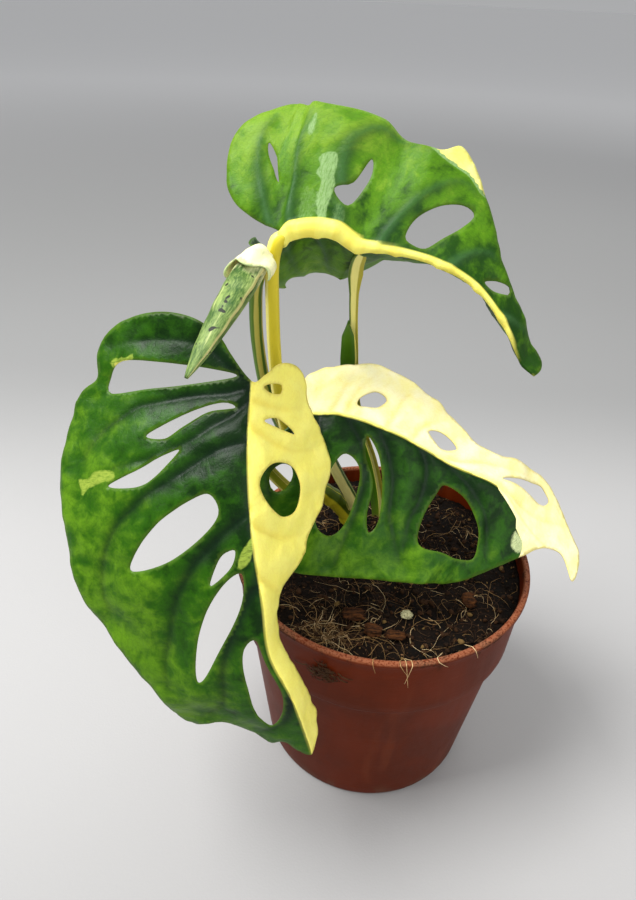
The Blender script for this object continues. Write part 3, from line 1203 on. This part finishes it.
def make_fibres():
    """Hair-fine fibres and rootlets: three-sided tubes along their paths, joined as one piece."""
    vertices, faces, tones, count = [], [], [], 0
    for points, radius, tone in fibre_paths():
        path = spline(points, 1.6 * MM)
        ring = np.stack([np.cos(math.tau * np.arange(3) / 3), np.sin(math.tau * np.arange(3) / 3)], axis=1)
        for k, spot in enumerate(path):
            ahead = unit(path[min(k + 1, len(path) - 1)] - path[max(k - 1, 0)])
            side = unit(np.cross(ahead, (0.13, 0.21, 0.97)))
            over = np.cross(ahead, side)
            taper = 1 - 0.6 * k / len(path)
            vertices.append(spot + radius * taper * (ring[:, :1] * side + ring[:, 1:] * over))
            if k:
                low, high = count + 3 * (k - 1), count + 3 * k
                faces += [(low + i, low + (i + 1) % 3, high + (i + 1) % 3, high + i) for i in range(3)]
        faces += [(count + 2, count + 1, count),
                  tuple(count + 3 * (len(path) - 1) + i for i in range(3))]
        count += 3 * len(path)
        tones.append(np.full(3 * len(path), tone))
    piece = new_piece("monstera_soil_fibres", np.vstack(vertices), faces, {"tone": np.concatenate(tones)})
    use = settings()
    sh = Shader("fibre_skin", Specular_IOR_Level=0.2)
    tone, fine = sh.read("tone"), sh.grain(sh.place(), 700.0, 3, 0.6)
    paleness = (tone + (fine - 0.5) * 0.4).step(0.25, 0.95)
    colour = sh.mix(srgb(62, 38, 18), tuple_of(use.fibre_colour), paleness)
    colour = sh.mix(colour, srgb(236, 210, 160), (tone + (fine - 0.5) * 0.2).step(0.8, 0.95) * 0.8)
    finish_piece(piece, sh.finish(colour, 0.6 + fine * 0.2), "potting_mix")


def make_bits():
    """The bark chips and the perlite: a block cut finer, split and worn by noise, one for each CAD node."""
    sh = Shader("bark_skin", Specular_IOR_Level=0.1)
    place = sh.place()
    grain = sh.grain(sh.stretch(place, (1, 6, 3)), 260.0, 5, 0.65)
    fine = sh.grain(place, 900.0, 3, 0.6)
    colour = sh.mix(srgb(30, 16, 8), srgb(88, 52, 24), (grain * 0.7 + fine * 0.3).step(0.38, 0.66))
    bark = sh.finish(colour, 0.8 + fine * 0.1, sh.bump(grain + fine * 0.4, 0.0006, 1.0))
    sh = Shader("perlite_skin", Specular_IOR_Level=0.15)
    pits = sh.cells(sh.place(), 1400.0, "F1")
    colour = sh.mix(srgb(110, 106, 72), srgb(180, 176, 136), pits.step(0.1, 0.6))
    white = sh.finish(colour, 0.85 + pits * 0.1, sh.bump(pits, 0.0004, 0.9))
    loose = sorted(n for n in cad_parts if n.startswith("bark_chip") or n == "perlite_bit")
    for k, name in enumerate(loose):
        low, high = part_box(name)
        pale = name == "perlite_bit"
        clear_selection()
        bpy.ops.mesh.primitive_cube_add(size=1, location=(0, 0, 0))
        bit = bpy.context.object
        bit.name = bit.data.name = "monstera_" + name
        bpy.ops.object.mode_set(mode="EDIT")
        bpy.ops.mesh.select_all(action="SELECT")
        bpy.ops.mesh.subdivide(number_cuts=7, smoothness=0.6 if pale else 0.45)
        bpy.ops.mesh.vertices_smooth(factor=0.5, repeat=4 if pale else 3)
        bpy.ops.object.mode_set(mode="OBJECT")
        apply_modifier(bit, "CAST", factor=0.55, size=0.6, use_radius_as_size=False)
        points = np.array([v.co for v in bit.data.vertices])
        rough = noise_at(points * (1, 1.6, 1.2), 0.5, k * 2.0, 4)
        points = points + points * (rough * (0.45 if pale else 0.4))[:, None]
        span = points.max(axis=0) - points.min(axis=0)
        centre = (points.max(axis=0) + points.min(axis=0)) / 2
        points = (points - centre) / span * np.array(high - low) * 0.99 + np.array((low + high) / 2)
        bit.data.vertices.foreach_set("co", points.astype(np.float32).ravel())
        bit.data.update()
        bit.data.shade_smooth()
        finish_piece(bit, white if pale else bark, "perlite" if pale else "bark", name)


# ---------------------------------------------------------------- stage


FLOOR_SIZE = 200
CAMERA_SPOT = (-0.0285, -0.2170, 0.2926)
CAMERA_PITCH = math.radians(33.35)
CAMERA_ROLL = math.radians(2.8)
CAMERA_SENSOR = 36  # millimetres, as is the lens
CAMERA_LENS = 27.6


def make_stage():
    """A pale floor that darkens behind the plant like a sweep of paper, soft light and the camera."""
    use = settings()
    clear_selection()
    bpy.ops.mesh.primitive_plane_add(size=FLOOR_SIZE, location=(0, 0, 0))
    floor = bpy.context.object
    floor.name = "floor"
    sh = Shader("floor_paper", Roughness=0.8)
    place = sh.place()
    back = sh.node("SeparateXYZ", {}, {"Vector": place}, output=1)
    fine = sh.grain(place, 900.0, 2, 0.5)
    slow = sh.grain(place, 3.0, 2, 0.5)
    back = back + (slow - 0.5) * 0.08
    colour = sh.mix(srgb(158, 157, 156), srgb(172, 171, 170), back.step(-0.2, 0.05))
    colour = sh.mix(colour, srgb(142, 142, 141), back.step(0.10, 0.36))
    far = sh.node("VectorMath", {"operation": "LENGTH"}, {0: place}, output=1)
    colour = sh.mix(colour, srgb(250, 250, 250), far.step(0.6, 3.0))
    floor.data.materials.append(sh.finish(colour, 0.8 + fine * 0.1, sh.bump(fine, 0.0002, 0.3)))

    for name, spot, size, power, target in (
            ("key_light", (-0.62, -0.12, 1.2), 0.6, use.key_power, (0, 0, 0.13)),
            ("fill_light", (0.55, -0.95, 0.7), 1.0, use.fill_power * 1.5, (0, 0, 0.14)),
            ("back_light", (0.35, 0.75, 0.9), 0.8, use.fill_power * 0.8, (0, 0, 0.15))):
        clear_selection()
        bpy.ops.object.light_add(type="AREA", location=spot)
        light = bpy.context.object
        light.name = name
        light.data.size = size
        light.data.energy = power
        light.rotation_euler = (Vector(target) - Vector(spot)).to_track_quat("-Z", "Y").to_euler()
    world = bpy.context.scene.world or bpy.data.worlds.new("World")
    bpy.context.scene.world = world
    world.use_nodes = True
    world.node_tree.nodes["Background"].inputs["Color"].default_value = (0.97, 0.98, 1, 1)
    world.node_tree.nodes["Background"].inputs["Strength"].default_value = 0.42

    clear_selection()
    bpy.ops.object.camera_add(location=CAMERA_SPOT)
    camera = bpy.context.object
    pitch, roll = CAMERA_PITCH, CAMERA_ROLL
    forward = Vector((0, math.cos(pitch), -math.sin(pitch)))
    right, up = Vector((1, 0, 0)), Vector((0, math.sin(pitch), math.cos(pitch)))
    leaned = (right * math.cos(roll) + up * math.sin(roll), up * math.cos(roll) - right * math.sin(roll),
              -forward)
    camera.matrix_world = Matrix.Translation(camera.location) @ Matrix(leaned).transposed().to_4x4()
    camera.data.sensor_width = CAMERA_SENSOR
    camera.data.lens = CAMERA_LENS
    camera.data.clip_start = 0.01
    bpy.context.scene.camera = camera
    bpy.context.scene.view_settings.view_transform = "Standard"


# ---------------------------------------------------------------- the add-on


def make_leaves():
    for name, spec, back_shown, pale_half, seed in LEAVES:
        make_blade(name, spec, back_shown, pale_half, seed)


def make_petioles():
    for name, route in PETIOLES.items():
        piece = swept("monstera_" + name, route, round_section(petiole_radius, 0.3), 1.2, 28)
        finish_piece(piece, stalk_look(name + "_skin", *STALK_BANDS[name]), "petiole_skin", name)


def make_vine():
    piece = swept("monstera_vine", STEM_ROUTE, round_section(vine_radius, 0.06), 0.8, 36)
    finish_piece(piece, stalk_look("vine_skin", *STALK_BANDS["vine"]), "vine_skin", "vine_stem")


class PLANT_OT_pot(bpy.types.Operator):
    """Turns the pot and cuts its drain holes"""

    bl_idname = "plant.pot"
    bl_label = "Pot"
    bl_options = {"REGISTER", "UNDO"}

    def execute(self, context):
        make_pot()
        return {"FINISHED"}


class PLANT_OT_soil(bpy.types.Operator):
    """Fills the pot with soil"""

    bl_idname = "plant.soil"
    bl_label = "Soil"
    bl_options = {"REGISTER", "UNDO"}

    def execute(self, context):
        make_soil()
        return {"FINISHED"}


class PLANT_OT_crumbs(bpy.types.Operator):
    """Scatters loose crumbs on the soil"""

    bl_idname = "plant.crumbs"
    bl_label = "Soil crumbs"
    bl_options = {"REGISTER", "UNDO"}

    def execute(self, context):
        make_crumbs()
        return {"FINISHED"}


class PLANT_OT_fibres(bpy.types.Operator):
    """Lays fibres and rootlets over the soil"""

    bl_idname = "plant.fibres"
    bl_label = "Fibres"
    bl_options = {"REGISTER", "UNDO"}

    def execute(self, context):
        make_fibres()
        return {"FINISHED"}


class PLANT_OT_bits(bpy.types.Operator):
    """Lays the bark chips and the perlite on the soil"""

    bl_idname = "plant.bits"
    bl_label = "Bark and perlite"
    bl_options = {"REGISTER", "UNDO"}

    def execute(self, context):
        make_bits()
        return {"FINISHED"}


class PLANT_OT_vine(bpy.types.Operator):
    """Grows the short vine"""

    bl_idname = "plant.vine"
    bl_label = "Vine"
    bl_options = {"REGISTER", "UNDO"}

    def execute(self, context):
        make_vine()
        return {"FINISHED"}


class PLANT_OT_petioles(bpy.types.Operator):
    """Grows a petiole to each leaf"""

    bl_idname = "plant.petioles"
    bl_label = "Petioles"
    bl_options = {"REGISTER", "UNDO"}

    def execute(self, context):
        make_petioles()
        return {"FINISHED"}


class PLANT_OT_shoot(bpy.types.Operator):
    """Grows the rolled shoot behind the petioles"""

    bl_idname = "plant.shoot"
    bl_label = "Sheathed shoot"
    bl_options = {"REGISTER", "UNDO"}

    def execute(self, context):
        make_shoot()
        return {"FINISHED"}


class PLANT_OT_leaves(bpy.types.Operator):
    """Spreads the three holed leaves"""

    bl_idname = "plant.leaves"
    bl_label = "Leaves"
    bl_options = {"REGISTER", "UNDO"}

    def execute(self, context):
        make_leaves()
        return {"FINISHED"}


class PLANT_OT_furled_leaf(bpy.types.Operator):
    """Rolls up the unopened leaf"""

    bl_idname = "plant.furled_leaf"
    bl_label = "Furled leaf"
    bl_options = {"REGISTER", "UNDO"}

    def execute(self, context):
        make_furled_leaf()
        return {"FINISHED"}


class PLANT_OT_furled_cap(bpy.types.Operator):
    """Spreads the pale foot of the unopened leaf"""

    bl_idname = "plant.furled_cap"
    bl_label = "Furled leaf's foot"
    bl_options = {"REGISTER", "UNDO"}

    def execute(self, context):
        make_furled_cap()
        return {"FINISHED"}


class PLANT_OT_stage(bpy.types.Operator):
    """Lays the floor and sets the lights and the camera"""

    bl_idname = "plant.stage"
    bl_label = "Stage"
    bl_options = {"REGISTER", "UNDO"}

    def execute(self, context):
        make_stage()
        return {"FINISHED"}


OPERATORS = [PLANT_OT_pot, PLANT_OT_soil, PLANT_OT_crumbs, PLANT_OT_fibres, PLANT_OT_bits,
             PLANT_OT_vine, PLANT_OT_petioles, PLANT_OT_shoot, PLANT_OT_leaves, PLANT_OT_furled_leaf,
             PLANT_OT_furled_cap, PLANT_OT_stage]


class PLANT_PT_panel(bpy.types.Panel):
    """Lists the plant's settings and steps."""

    bl_label = "Potted Monstera"
    bl_idname = "PLANT_PT_panel"
    bl_space_type = "VIEW_3D"
    bl_region_type = "UI"
    bl_category = "Plant"

    def draw(self, context):
        for key in PlantSettings.__annotations__:
            self.layout.prop(context.scene.plant, key)
        for operator in OPERATORS:
            self.layout.operator(operator.bl_idname)


CLASSES = [PlantSettings, *OPERATORS, PLANT_PT_panel]


def register():
    for cls in CLASSES:
        bpy.utils.register_class(cls)
    bpy.types.Scene.plant = PointerProperty(type=PlantSettings)


def unregister():
    del bpy.types.Scene.plant
    for cls in reversed(CLASSES):
        bpy.utils.unregister_class(cls)


def main():
    register()
    for operator in OPERATORS:
        getattr(bpy.ops.plant, operator.bl_idname.split(".")[1])()


if __name__ == "__main__":
    main()
